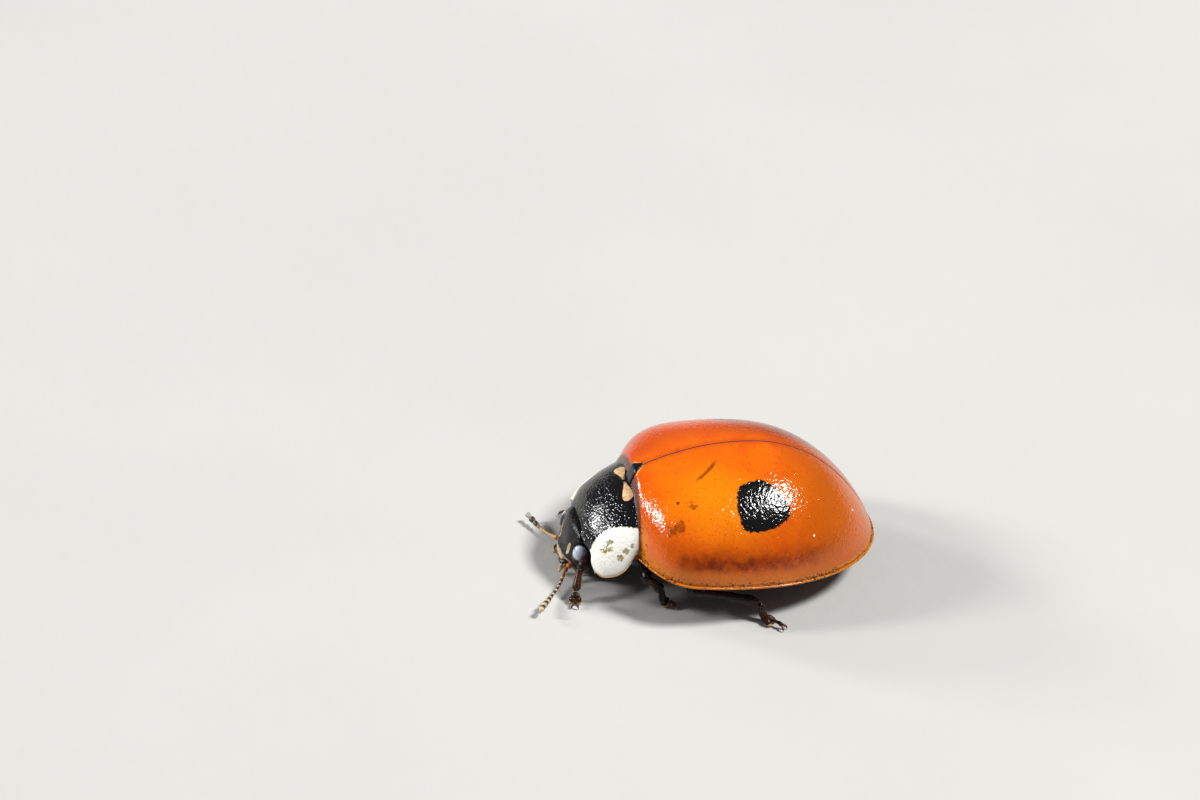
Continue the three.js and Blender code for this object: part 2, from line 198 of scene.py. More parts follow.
def softbox(name, azimuth, elevation, size, power):
    """A lamp that looks at the animal. Azimuth 0 is before its head and 90 is at its left side."""
    turn, tilt = math.radians(azimuth), math.radians(elevation)
    back = np.array([math.sin(turn) * math.cos(tilt), -math.cos(turn) * math.cos(tilt), math.sin(tilt)])
    lamp = bpy.data.lights.new(name, "AREA")
    lamp.shape, lamp.size, lamp.size_y, lamp.energy = "RECTANGLE", size[0], size[1], power
    holder = bpy.data.objects.new(name, lamp)
    across = np.cross([0, 0, 1], back)
    across /= np.linalg.norm(across)
    axes = np.array([across, np.cross(back, across), back]).T
    at = back * LAMP_DISTANCE
    holder.matrix_world = Matrix(np.block([[axes, at[:, None]], [0, 0, 0, 1]]).tolist())
    scene.collection.objects.link(holder)


softbox("lamp_tail", 165, 55, (0.033, 0.031), 0.29)
softbox("lamp_head", -8, 28, (0.02, 0.034), 0.16)
softbox("lamp_low", -33, 19, (0.026, 0.034), 0.115)

TO_LENS = np.array([0.8142, -0.1925, 0.5478])
LENS_UP = np.array([-0.55076, 0.04285, 0.83356])
LOOKS_AT = np.array([-1.0721, -1.3896, 2.3145]) * MM
LENS_DISTANCE = 0.2
FRAME_WIDTH = 0.01856  # what the lens takes in across, at the animal
lens = bpy.data.cameras.new("lens")
lens.sensor_width = 36.0
lens.lens = lens.sensor_width * LENS_DISTANCE / FRAME_WIDTH
lens.clip_start, lens.clip_end = 0.005, 5.0
camera = bpy.data.objects.new("camera", lens)
axes = np.array([np.cross(LENS_UP, TO_LENS), LENS_UP, TO_LENS])
axes /= np.linalg.norm(axes, axis=1)[:, None]
camera.matrix_world = Matrix(np.block(
    [[axes.T, (LOOKS_AT + TO_LENS * LENS_DISTANCE)[:, None]], [0, 0, 0, 1]]).tolist())
scene.collection.objects.link(camera)
scene.camera = camera

# -------------------------------------------- wing cases
# Two thin domed shells of hard cuticle that meet along the back. Each has a beaded outer rim and
# under it a flat inturned strip, the epipleuron. They are glossy orange with one black spot each.

# In mm, and in shares of the length, half width and height.
NOSE_UP = math.radians(4.5)
RIM_HEIGHT = 0.83
MIDDLE_Y = 1.08
LENGTH, HALF, HEIGHT = 3.9, 1.889, 1.473
WIDEST_AT, HIGHEST_AT = 0.247, 0.481
FRONT_HALF, FRONT_HEIGHT = 0.57, 0.625


def standing(points):
    """Points of the body's own frame, put where the animal stands. Its y starts at the wing cases."""
    x, y, z = np.moveaxis(np.asarray(points, float), -1, 0)
    along, lean = math.cos(NOSE_UP), math.sin(NOSE_UP)
    return np.stack([x, y * along + z * lean - MIDDLE_Y, RIM_HEIGHT - y * lean + z * along], -1)


def rise(value, power):
    """A power of what is over 0, and 0 below."""
    return np.maximum(value, 0) ** power


def dome_half(at):
    """Half the width of both wing cases at a share of their length."""
    front = 1 - (1 - FRONT_HALF) * rise((WIDEST_AT - at) / WIDEST_AT, 2.95)
    tail = rise(1 - rise((at - WIDEST_AT) / (1 - WIDEST_AT), 2.25), 0.5)
    return HALF * np.where(at < WIDEST_AT, front, tail)


def dome_top(at):
    """Height of the seam over the rim at a share of the length."""
    front = 1 - (1 - FRONT_HEIGHT) * rise((HIGHEST_AT - at) / HIGHEST_AT, 2.08)
    tail = rise(1 - rise((at - HIGHEST_AT) / (1 - HIGHEST_AT), 1.976), 1 / 1.235)
    return HEIGHT * np.where(at < HIGHEST_AT, front, tail)


def dome_height(x, y):
    """Height of the wing cases' surface over their rim."""
    at = np.clip(y / LENGTH, 0, 1)
    sideways = np.clip(np.abs(x) / np.maximum(dome_half(at), 1e-6), 0, 1)
    lean = 1.18 - 0.32 * rise(1 - at / HIGHEST_AT, 2)
    return dome_top(at) * rise(1 - sideways ** 2, 0.5) ** lean


def normals_of(points):
    """Unit normals of a grid of points."""
    normals = np.cross(np.gradient(points, axis=1), np.gradient(points, axis=0))
    return normals / np.maximum(np.linalg.norm(normals, axis=-1, keepdims=True), 1e-12)


def walled(points, wall):
    """The grids of a shell: its outer face, its inner face, and the strips along its four edges."""
    inner = points - normals_of(points) * wall
    strips = [(points[edge], inner[edge]) for edge in (0, -1)]
    strips += [(points[:, edge], inner[:, edge]) for edge in (0, -1)]
    return [points, inner] + [np.stack(pair) for pair in strips]


def laid_out(grids):
    """Places each grid on a shelf in a unit square: its corner, width and height there."""
    sizes, least = [], 0.02
    for grid, room in grids:
        wide = np.linalg.norm(np.diff(grid, axis=1), axis=2).sum(1).mean()
        high = np.linalg.norm(np.diff(grid, axis=0), axis=2).sum(0).mean()
        sizes.append((max(wide, least) * room, max(high, least) * room))
    gap = 0.02 * max(max(size) for size in sizes)
    shelf = max(1.05 * math.sqrt(sum((w + gap) * (h + gap) for w, h in sizes)), max(w for w, h in sizes))
    places, x, y, tallest = [None] * len(sizes), 0.0, 0.0, 0.0
    for index in sorted(range(len(sizes)), key=lambda each: -sizes[each][1]):
        wide, high = sizes[index]
        if x + wide > shelf + 1e-9:
            x, y, tallest = 0.0, y + tallest + gap, 0.0
        places[index] = (x, y, wide, high)
        x, tallest = x + wide + gap, max(tallest, high)
    whole = max(shelf, y + tallest)
    return [tuple(part / whole for part in place) for place in places]


def sewn(name, grids, finish, rooms=None, **fields):
    """A mesh sewn from grids of points in mm, with its unwrap in the map OFBake.

    rooms is each grid's share of the unwrap. Each field is a number or a vector for each grid or for
    each of its points, and becomes an attribute of the mesh.
    """
    verts, faces, spread, count = [], [], [], 0
    for grid, place in zip(grids, laid_out(list(zip(grids, rooms or [1.0] * len(grids))))):
        rows, columns = grid.shape[:2]
        index = count + np.arange(rows * columns).reshape(rows, columns)
        corners = [index[:-1, :-1], index[:-1, 1:], index[1:, 1:], index[1:, :-1]]
        faces.append(np.stack(corners, -1).reshape(-1, 4))
        down, over = np.meshgrid(np.linspace(0, 1, rows), np.linspace(0, 1, columns), indexing="ij")
        patch = np.stack([place[0] + over * place[2], place[1] + down * place[3]], -1)
        spread.append(patch.reshape(-1, 2))
        verts.append(grid.reshape(-1, 3) * MM)
        count += rows * columns
    faces, spread = np.concatenate(faces), np.concatenate(spread)
    mesh = bpy.data.meshes.new(name)
    mesh.from_pydata(np.concatenate(verts), [], faces.tolist())
    unwrap = mesh.uv_layers.new(name="OFBake")
    unwrap.uv.foreach_set("vector", spread[faces.ravel()].astype(np.float32).ravel())
    for field, values in fields.items():
        wide = np.shape(values[0])[-1:] == (3,)
        full = [np.broadcast_to(value, grid.shape if wide else grid.shape[:2]).ravel()
                for value, grid in zip(values, grids)]
        kept = mesh.attributes.new(field, "FLOAT_VECTOR" if wide else "FLOAT", "POINT")
        kept.data.foreach_set("vector" if wide else "value", np.concatenate(full).astype(np.float32))
    edit = bmesh.new()
    edit.from_mesh(mesh)
    bmesh.ops.remove_doubles(edit, verts=edit.verts, dist=2e-7)
    bmesh.ops.recalc_face_normals(edit, faces=edit.faces)
    for face in edit.faces:
        face.smooth = True
    edit.to_mesh(mesh)
    edit.free()
    mesh.materials.append(finish.material)
    piece = bpy.data.objects.new(name, mesh)
    scene.collection.objects.link(piece)
    return piece


def body_place(finish):
    """The shaded point in the body's own frame, in mm: the vector and its three numbers."""
    along, lean = math.cos(NOSE_UP), math.sin(NOSE_UP)
    shift = (0, MIDDLE_Y * along + RIM_HEIGHT * lean, MIDDLE_Y * lean - RIM_HEIGHT * along)
    vector = finish.add("ShaderNodeMapping", Vector=finish.place, Scale=(1000, 1000, 1000),
                        Rotation=(NOSE_UP, 0, 0), Location=shift)
    return vector, *finish.parts(vector)


def near(finish, vector, centre, reach):
    """1 at a point of the body, fading to 0 at a distance from it, in mm."""
    away = finish.add("ShaderNodeVectorMath", {"operation": "DISTANCE"}, "Value", _0=vector, _1=centre)
    return away.step(reach, 0.0)


SEAM_GAP = 0.004
CASE_WALL = 0.034
# Each step of the front fold goes this far forwards and down, to this power of its number.
FOLD_FORWARD, FOLD_DOWN, FOLD_POWER = 0.03, 0.075, 1.3
# The rim in its own section: outwards from the margin, and up.
RIM_SECTION = [(0.006, -0.004), (0.018, -0.006), (0.033, 0.004), (0.047, 0.0), (0.052, -0.014),
               (0.044, -0.029), (0.022, -0.036), (-0.03, -0.034), (-0.09, -0.024), (-0.16, -0.01),
               (-0.23, 0.01)]
RIM_INSET = 0.012


def elytron(side):
    """One wing case, from the middle of the back to its rim, then in under it."""
    dense = 1 - np.linspace(1, 0, 4000) ** 2
    margin = np.stack([dome_half(dense), dense * LENGTH], -1)
    run = np.r_[0, np.cumsum(np.linalg.norm(np.diff(margin, axis=0), axis=1))]
    share = np.r_[np.linspace(0, 0.985, 104), 0.991, 0.996, 1.0]
    margin = np.stack([np.interp(share * run[-1], run, margin[:, axis]) for axis in (0, 1)], -1)
    heading = np.gradient(margin, axis=0)
    heading[-1] = (-1, 0)
    heading /= np.linalg.norm(heading, axis=1)[:, None]
    outward = np.stack([heading[:, 1], -heading[:, 0]], -1)
    spine = np.stack([0 * share, 0.75 * LENGTH * (1 - rise(1 - margin[:, 1] / LENGTH, 1.2))], -1)
    inwards = np.r_[1, 0.997, 0.988, 0.97, np.linspace(0.94, 0, 48) ** 1.55 / 0.94 ** 0.55]
    plan = margin[:, None] + (spine - margin)[:, None] * inwards[None, :, None]
    x, y = plan[..., 0], plan[..., 1]
    seam_groove = 0.009 * np.exp(-(x / 0.016) ** 2)
    shoulder = 0.012 * np.exp(-((x - 1.06) ** 2 + (y - 0.3) ** 2) / 0.05)
    dome = np.stack([x + SEAM_GAP, y, dome_height(x, y) - seam_groove + shoulder], -1)
    # The strip under the rim narrows to the tail.
    narrowing = np.clip((1 - share) / 0.16, 0.12, 1)
    rim = []
    for out, up in RIM_SECTION:
        reach = (out if out > 0 else out * narrowing) - RIM_INSET
        rim.append(np.stack([margin[:, 0] + outward[:, 0] * reach + SEAM_GAP,
                             margin[:, 1] + outward[:, 1] * reach, 0 * share + up], -1))
    grid = np.concatenate([dome, np.stack(rim, 1)], 1)
    grid[..., 0] = np.maximum(grid[..., 0], SEAM_GAP)
    still, tall = 0 * grid[:1, :, 0], np.clip(grid[:1, :, 2] + 0.25, 0, 1)
    tuck = [grid[:1] + np.stack([still, still - FOLD_FORWARD * fold,
                                 -FOLD_DOWN * fold ** FOLD_POWER * tall], -1)
            for fold in (2.4, 1.6, 0.8)]
    return np.concatenate([*tuck, grid]) * (side, 1, 1)


shell = Finish("wing_case_orange", Specular_IOR_Level=0.44)
vector, x, y, z = body_place(shell)
apart = abs(x)
cloud = shell.noise(0.55, 3.0)
grain = shell.noise(0.035, 2.0)
# Golden on the flank and browner to the tail. Darker and redder past the seam, darkest at its rear, and a
# dark band low on the side: these three are painted shade.
orange = shell.mix(cloud.step(0.35, 0.7), shade("cc5000"), shade("da6200"))
mirror = shell.add("ShaderNodeCombineXYZ", X=apart, Y=y, Z=z)
orange = shell.mix(near(shell, mirror, (1.05, 1.0, 1.05), 1.1) * 0.9, orange, shade("ec8000"))
orange = shell.mix(near(shell, mirror, (1.2, 1.6, 1.0), 0.75) * 0.6, orange, shade("ec8800"))
orange = shell.mix(y.step(1.9, 3.0) * 0.85, orange, shade("ad5200"))
# Painted shade: past the seam the wing case is darker and redder, and darkest toward its rear.
orange = shell.mix(x.step(0.1, -0.7) * 0.85, orange, shade("b83e00"))
orange = shell.mix(x.step(0.0, -0.5) * y.step(0.9, 2.7) * 0.85, orange, shade("6c3000"))
# Painted shade: a mottled dark band low on the flank, where less light falls.
painted_shade_band = z.step(0.68, 0.36) * z.step(0.12, 0.3) * y.step(0.15, 0.7) * y.step(3.5, 2.3)
mottled = shell.noise(0.16, 4.0).step(0.3, 0.7) * 0.45 + cloud.step(0.1, 0.6) * 0.5
orange = shell.mix(painted_shade_band * mottled, orange, shade("5c1801"))
orange = shell.mix(grain.step(0.54, 0.72) * 0.4, orange, shade("a83402"))
# The spot: a rounded four-sided patch with a ragged edge, on the flank of each wing case. Each of its
# sides faces back and down the flank by these parts, at this distance from its middle.
ragged = (shell.noise(0.05, 3.0) - 0.5) * 0.11
behind, below = y - 1.8, apart * 0.79 - z * 0.61 - 0.29
sides = [(-1, 0, 0.43), (-0.957, 0.289, 0.452), (-0.187, 0.982, 0.465), (0.279, 0.96, 0.39),
         (0.62, 0.784, 0.389), (0.954, 0.298, 0.435), (0.847, -0.531, 0.345), (0.584, -0.812, 0.371),
         (0.263, -0.965, 0.411), (-0.273, -0.962, 0.431), (-0.484, -0.875, 0.444), (-0.975, -0.224, 0.446)]
corner_round, soft_edge = 0.04, 0.014
past_sides = [behind * back + below * fall - reach for back, fall, reach in sides]
outside = past_sides[0]
for past_side in past_sides[1:]:
    outside = outside.math("SMOOTH_MAX", past_side, corner_round)
spot = (outside + ragged).step(soft_edge, -soft_edge)
# A narrow dark seam along the back, pale edges by the scutellum, a golden rim, and painted shadow on the
# front fold where it goes under the shield.
orange = shell.mix(apart.step(0.12, 0.02) * 0.35, orange, shade("a02f00"))
orange = shell.mix(apart.step(0.018, 0.006), orange, shade("3f1202"))
peppered = shell.cells(0.055).step(0.3, 0.15) * apart.step(0.16, 0.03) * y.step(2.2, 0.8)
orange = shell.mix(peppered * grain.step(0.42, 0.6) * 0.8, orange, shade("4a1602"))
beside = apart + y * 1.2
beside = beside.step(0.185, 0.16) * beside.step(0.125, 0.14) * y.step(-0.005, 0.02)
orange = shell.mix(beside * 0.85, orange, shade("e0b266"))
lower = z.step(0.32, 0.12) * z.step(-0.03, 0.05) * y.step(3.2, 2.0)
orange = shell.mix(lower * 0.55, orange, shade("b46600"))
pits = shell.cells(0.042).step(0.5, 0.3) * shell.noise(0.2, 2.0).step(0.4, 0.5)
golden = shell.mix(pits, shade("c58428"), shade("3a1c06"))
gilt = z.step(0.1, 0.04).most(y.step(0.1, 0.05) * z.step(0.6, 0.35) * 0.8)
orange = shell.mix(gilt * (pits * 0.4 + 0.5), orange, golden)
orange = shell.mix(z.step(-0.028, -0.034), orange, shade("8f5518"))
# Painted shadow: the front fold is dark brown, as the gap under the shield's rear edge.
orange = shell.mix(y.step(0.0, -0.03) * z.step(0.2, 0.4) * 0.9, orange, shade("260c04"))
# Wear: a fine scratch, smudges on the shoulder, a dark red dot and sunken dark specks.
scratch_way = (y - 0.98) * 0.74 - (apart - 0.6) * 0.67
scratch_off = (y - 0.98) * 0.67 + (apart - 0.6) * 0.74 + scratch_way * scratch_way * 0.55
scratch = abs(scratch_off + (grain - 0.5) * 0.04).step(0.05, 0.01) * abs(scratch_way).step(0.3, 0.12)
scratch = scratch * z.step(1.0, 1.1) * x.step(0.1, 0.2) * 0.7
smudge = near(shell, vector, (1.39, 0.43, 0.71), 0.27)
smudge = smudge.most(near(shell, vector, (1.13, 0.66, 0.98), 0.2) * 0.75)
smudge = (smudge + (shell.noise(0.09, 4.0) - 0.5) * 2.4).step(0.45, 0.9) * 0.6
dot = near(shell, vector, (1.03, 0.48, 0.96), 0.05).step(0.2, 0.6) * 0.8
specks = shell.cells(0.16).step(0.1, 0.045) * cloud.step(0.42, 0.55) * 0.7
orange = shell.mix(scratch.most(smudge).most(dot).most(specks), orange, shade("4c1604"))
dust = near(shell, vector, (0.58, 3.4, 0.61), 0.038).most(near(shell, vector, (1.35, 2.63, 0.63), 0.034))
orange = shell.mix((dust * (grain + 0.5)).step(0.3, 0.5) * 0.9, orange, shade("f0ded6"))
spot_black = shell.mix(grain, shade("040404"), shade("0f0d10"))
# The surface is finely dented all over, which breaks its shine into sparks.
relief = shell.bump(shell.noise(0.052, 2.0), 0.0085)
relief = shell.bump(shell.cells(0.075).step(0.05, 0.4), 0.003, relief)
shell.set(Base_Color=shell.mix(spot, orange, spot_black), Normal=relief,
          Roughness=0.05 + shell.noise(0.09, 3.0) * 0.12 + apart.step(0.03, 0.015) * 0.6)
for side, name in ((1, "elytron_left"), (-1, "elytron_right")):
    grids = walled(standing(elytron(side)), CASE_WALL * side)
    piece = sewn(name + "_shell", grids, shell)
    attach(piece, "root")
    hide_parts(name)

# -------------------------------------------- scutellum
# The small black triangle of the back that shows between the bases of the wing cases. It is a
# plate of the same hard cuticle, level with them, with its point backwards.

PLATE_LENGTH, PLATE_HALF, PLATE_PROUD, PLATE_WALL = 0.115, 0.125, 0.004, 0.02
across, along = np.meshgrid(np.linspace(-1, 1, 17), np.linspace(-0.075, PLATE_LENGTH, 20), indexing="ij")
narrowing = PLATE_HALF * np.clip(1 - np.clip(along, 0, 1) / PLATE_LENGTH, 0.01, 1) ** 0.95
plate = np.stack([across * narrowing, along, 0 * along], -1)
plate[..., 2] = dome_height(plate[..., 0], plate[..., 1]) + PLATE_PROUD - 0.02 * np.abs(across) ** 6
plate[..., 2] -= FOLD_DOWN * rise(-along / FOLD_FORWARD, FOLD_POWER)
jet = Finish("jet_cuticle", Specular_IOR_Level=0.3)
fine = jet.noise(0.03, 3.0)
jet.set(Base_Color=jet.mix(fine, shade("050506"), shade("15141a")), Normal=jet.bump(fine, 0.004),
        Roughness=0.16 + jet.noise(0.12, 2.0) * 0.14)
piece = sewn("scutellum_plate", walled(standing(plate), PLATE_WALL), jet)
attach(piece, "root")
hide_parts("scutellum")

# -------------------------------------------- pronotum
# The shield over the front of the thorax: one domed plate, black and finely shagreened, with a
# white patch at each side, two cream drops at its base and a thin clear rim.

SHIELD_CREST = [[0, -0.8, -0.06], [0, -0.62, 0.25], [0, -0.33, 0.55], [0, -0.03, 0.74]]
SHIELD_MARGIN = [[0.97, -0.63, -0.37], [1.13, -0.49, -0.36], [1.19, -0.24, -0.22], [1.11, -0.04, 0.12]]


def smooth_line(points, shares):
    """Points on a smooth line through the given ones, at shares of its way from 0 to 1."""
    points = np.asarray(points, float)
    last = len(points) - 1
    at = np.asarray(shares, float) * last
    first = np.minimum(at.astype(int), last - 1)
    part = (at - first)[:, None]
    ends = np.vstack([2 * points[0] - points[1], points, 2 * points[-1] - points[-2]])
    a, b, c, d = (ends[first + step] for step in range(4))
    return 0.5 * (2 * b + (c - a) * part + (2 * a - 5 * b + 4 * c - d) * part ** 2
                  + (3 * b - a - 3 * c + d) * part ** 3)


along = np.linspace(0, 1, 56)
crest, margin = smooth_line(SHIELD_CREST, along), smooth_line(SHIELD_MARGIN, along)
turn = np.sin(np.linspace(-1, 1, 101) * math.pi / 2) * math.pi / 2
lift = np.clip(np.cos(turn), 0, 1) ** 1.18
lift[[0, -1]] = 0
arch = np.stack([margin[:, None, 0] * np.sin(turn),
                 margin[:, None, 1] + (crest - margin)[:, None, 1] * lift,
                 margin[:, None, 2] + (crest - margin)[:, None, 2] * lift], -1)
# The front edge is cut back a little behind each eye.
arch[..., 1] += 0.06 * np.exp(-((np.abs(turn) - 0.85) / 0.22) ** 2) * (1 - along[:, None]) ** 4
heading = np.gradient(margin, axis=0)
outward = np.stack([heading[:, 1], -heading[:, 0]], -1)
outward /= np.linalg.norm(outward, axis=1)[:, None]
bead = [(0.004, -0.006), (0.013, -0.008), (0.024, -0.002), (0.03, -0.009), (0.027, -0.02),
        (0.012, -0.026), (-0.05, -0.018), (-0.13, 0.0), (-0.22, 0.03)]
thick = np.interp(along, [0, 0.2, 0.85, 1], [0.12, 0.55, 0.55, 0.2])
border = np.stack([np.stack([margin[:, 0] + outward[:, 0] * out * thick,
                             margin[:, 1] + outward[:, 1] * out * thick,
                             margin[:, 2] + up * thick], -1) for out, up in bead], 1)
grid = np.concatenate([(border * (-1, 1, 1))[:, ::-1], arch, border], 1)
front = [grid[:1] + (0, 0.012 * fold, -0.022 * fold) for fold in (2, 1)]
back = [grid[-1:] + (0, 0.006 * fold, -0.03 * fold) for fold in (1, 2)]
grid = np.concatenate([*front, grid, *back])
clear = np.clip(np.abs(turn) * 8 - 11.6, 0, 1) * 0.7
edge = np.r_[np.linspace(0.6, 1, 4), np.ones(5), clear, np.ones(5), np.linspace(1, 0.6, 4)]
shield = Finish("shield_cuticle", Specular_IOR_Level=0.5, Subsurface_Weight=0.1,
                Subsurface_Scale=0.00008)
vector, x, y, z = body_place(shield)
apart = abs(x)
grain = shield.noise(0.022, 3.0)
ragged = (shield.noise(0.05, 3.0) - 0.5) * 0.05
black = shield.mix(grain, shade("030303"), shade("0e0e12"))
inward = apart - 0.7 - (y + 0.45).most(0) * 0.56 - x.step(-0.3, -0.6) * 0.05 + ragged
white = shield.mix(shield.noise(0.3, 3.0), shade("dcdcd2"), shade("f1efe8"))
# Dirt lies on the left white patch in a few clots: where each is, and how far it reaches.
clots = [((0.92, -0.52, 0.0), 0.17), ((0.89, -0.45, 0.12), 0.14), ((0.96, -0.44, 0.03), 0.12),
         ((1.11, -0.3, -0.02), 0.12), ((1.08, -0.22, 0.08), 0.12), ((1.06, -0.13, 0.18), 0.08)]
dirt = near(shield, vector, *clots[0])
for clot in clots[1:]:
    dirt = dirt.most(near(shield, vector, *clot))
soil = shield.noise(0.035, 3.0)
dirt = (dirt * 1.6 * soil).step(0.42, 0.62)
white = shield.mix(x.step(-0.5, -0.9) * 0.3, white, shade("dfc48c"))
white = shield.mix(dirt * 0.85, white, shield.mix(soil.step(0.5, 0.7), shade("8d7b2e"), shade("33300f")))
drop = (apart - 0.03) / 0.42
drop = drop * drop * (1 - drop ** 5) * 0.0135 - (y + 0.135) * (y + 0.135)
drop = (drop + ragged * 0.012).step(-0.0006, 0.0006)
cream = shield.mix(shield.noise(0.05, 3.0).step(0.35, 0.65), shade("bd9464"), shade("e2bd90"))
colour = shield.mix(inward.step(-0.008, 0.012), black, white)
colour = shield.mix(drop * apart.step(0.02, 0.04), colour, cream)
rim = shield.kept("mark")
colour = shield.mix(rim * 0.85, colour, shade("b07a30"))
streaks = shield.noise(0.056, 2.0, shield.stretched((1.2, 0.55, 1.0), (0.3, 0.2, 0.6)))
relief = shield.bump(streaks, 0.0068)
relief = shield.bump(shield.cells(0.05, 0.9).step(0.1, 0.5), 0.0035, relief)
shield.set(Base_Color=colour, Normal=relief, Roughness=0.07 + shield.noise(0.07, 2.0) * 0.12)
# The plate thins to a tenth at its edges.
SHIELD_WALL, thin = 0.045, 0.1
wall_along = np.r_[thin, thin, 0.4, np.ones(54), 0.4, thin, thin]
wall_across = np.r_[[thin] * 9, np.clip((math.pi / 2 - np.abs(turn)) * 5, thin, 1), [thin] * 9]
wall = SHIELD_WALL * np.minimum(wall_along[:, None], wall_across)[..., None]
piece = sewn("pronotum_shell", walled(standing(grid), wall), shield,
             mark=[edge, edge * 0.5, edge, edge, 0.0, 0.0])
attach(piece, "root")
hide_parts("pronotum")

# -------------------------------------------- eyes
# A bulging compound eye at each side of the head, made of some hundreds of six-sided lenses. Each is black,
# with a pale grey-violet sheen painted on its outer front.


def ball(count):
    """Six square grids that wrap a sphere of radius 1."""
    flat = np.tan(np.linspace(-math.pi / 4, math.pi / 4, count))
    a, b = np.meshgrid(flat, flat, indexing="ij")
    faces = []
    for axis in range(3):
        for end in (1, -1):
            face = np.empty((count, count, 3))
            face[..., axis] = end
            face[..., (axis + 1) % 3], face[..., (axis + 2) % 3] = a, b
            faces.append(face / np.linalg.norm(face, axis=-1, keepdims=True))
    return faces


EYE = np.array([0.485, -0.765, -0.4])
EYE_HALF = np.array([0.11, 0.125, 0.2])
# Each lens stands this share of the eye's radius proud, and falls with the square of the distance.
LENS_PROUD, LENS_CURVE = 0.014, 2.2
lens_centres = bmesh.new()
bmesh.ops.create_icosphere(lens_centres, subdivisions=4, radius=1.0)
lens_centres = np.array([vert.co for vert in lens_centres.verts])
glass = Finish("eye_glass", Specular_IOR_Level=0.5)
x, y, z = body_place(glass)[1:]
sheen = glass.noise(0.05, 3.0)
mirror = glass.add("ShaderNodeCombineXYZ", X=abs(x), Y=y, Z=z)
# Painted sheen: a mottled pale grey-violet patch on the lit outer front of each eye, a painted reflection
# over the black.
painted_sheen_patch = near(glass, mirror, (0.56, -0.79, -0.32), 0.19).step(0.2, 0.45)
colour = glass.mix(painted_sheen_patch * sheen.step(0.33, 0.45), shade("08090d"), shade("c4c6d8"))
glass.set(Base_Color=colour, Normal=glass.bump(glass.noise(0.01, 2.0), 0.001),
          Roughness=0.2 + sheen * 0.15)
for side, name in ((1, "eye_left"), (-1, "eye_right")):
    grids = []
    for face in ball(61):
        flat = face.reshape(-1, 3)
        nearest = np.concatenate([((part[:, None] - lens_centres) ** 2).sum(2).min(1)
                                  for part in np.array_split(flat, 8)])
        bulge = 1.0 + LENS_PROUD - LENS_CURVE * nearest.reshape(face.shape[:2])
        grids.append(standing((EYE + face * EYE_HALF * bulge[..., None]) * (side, 1, 1)))
    piece = sewn(name + "_lenses", grids, glass)
    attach(piece, "root")
    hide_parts(name)

# -------------------------------------------- head, trunk and legs: the skin
# One skin of black cuticle: the head capsule, the plates of the breast and belly, and the legs. The
# plates meet in fine grooves, and each leg is jointed at hip, knee, ankle and foot.

HEAD = np.array([0, -0.7, -0.41])
HEAD_HALF = np.array([0.55, 0.22, 0.42])


def bell(points, centre, widths):
    """A soft bump of height 1 about a centre."""
    return np.exp(-(((points - centre) / widths) ** 2).sum(-1))[..., None]


def head_shape(face):
    """A point of the unit sphere as a point of the head: its brow, cheeks, mouth shield and sockets."""
    points = HEAD + np.sign(face) * np.abs(face) ** (2 / 2.7) * HEAD_HALF
    mirror = np.abs(points) * (1, -1, -1)
    forward = bell(mirror, (0, -0.92, -0.42), (0.3, 0.3, 0.3)) * (0, -0.02, 0)
    ledge = bell(mirror, (0, -0.9, -0.58), (0.42, 0.2, 0.075)) * (0, -0.055, 0)
    brow = bell(mirror, (0.34, -0.88, -0.2), (0.12, 0.2, 0.12)) * (0, 0.02, 0)
    beneath = 1 / (1 + np.exp((mirror[..., 2:] + 0.66) / 0.018))
    mouth = beneath * bell(mirror, (0, -0.95, -0.75), (0.36, 0.2, 0.3)) * (0, 0.07, 0)
    socket = bell(mirror, (0.54, -0.77, -0.4), (0.1, 0.16, 0.22)) * np.sign(points[..., :1]) * (-0.09, 0, 0)
    pit = bell(mirror, (0.37, -0.86, -0.64), (0.07, 0.1, 0.07)) * (0, 0.05, 0)
    return points + forward + ledge + brow + mouth + socket + pit


head_grids = [standing(head_shape(face)) for face in ball(49)]
neck = [standing(np.array([0, -0.42, -0.28]) + face * (0.42, 0.3, 0.34)) for face in ball(15)]

# The trunk, from the neck to the tail, in rings: arched above, and below with its plates' grooves.
stations = np.r_[np.linspace(-0.5, 1.0, 46), np.linspace(1.03, 3.72, 118)]
wide = np.interp(stations, [-0.5, -0.3, 0, 0.4, 1.0, 2.2, 3.0, 3.5, 3.72],
                 [0.62, 0.86, 0.98, 1.3, 1.6, 1.5, 1.12, 0.66, 0.2])
deep = np.interp(stations, [-0.5, -0.25, 0.1, 0.5, 0.9, 1.1, 2.0, 3.0, 3.5, 3.72],
                 [0.28, 0.36, 0.4, 0.43, 0.42, 0.36, 0.32, 0.24, 0.14, 0.04])
high = np.interp(stations, [-0.5, 0, 0.6, 1.8, 3.0, 3.5, 3.72], [0.1, 0.5, 0.75, 0.85, 0.55, 0.2, 0.04])
PLATE_JOINTS = [-0.1, 0.38, 1.02, 1.5, 1.92, 2.34, 2.76, 3.14, 3.46]
plate_steps = np.zeros_like(stations)
for joint in PLATE_JOINTS:
    behind = stations - joint
    groove, edge = -0.03 * np.exp(-(behind / 0.012) ** 2), -0.022 * np.exp(-behind / 0.12)
    plate_steps += np.where(behind > 0, edge, groove)
turns = np.linspace(0, 2 * math.pi, 97)
ring_x = np.sign(np.cos(turns)) * np.abs(np.cos(turns)) ** 0.8
under = np.sin(turns) < 0
trunk = np.empty((len(stations), len(turns), 3))
trunk[..., 0] = wide[:, None] * ring_x
trunk[..., 1] = stations[:, None]
lower = (deep + plate_steps)[:, None] * -np.abs(np.sin(turns)) ** 0.75
trunk[..., 2] = np.where(under, lower, high[:, None] * np.abs(np.sin(turns)) ** 0.9)
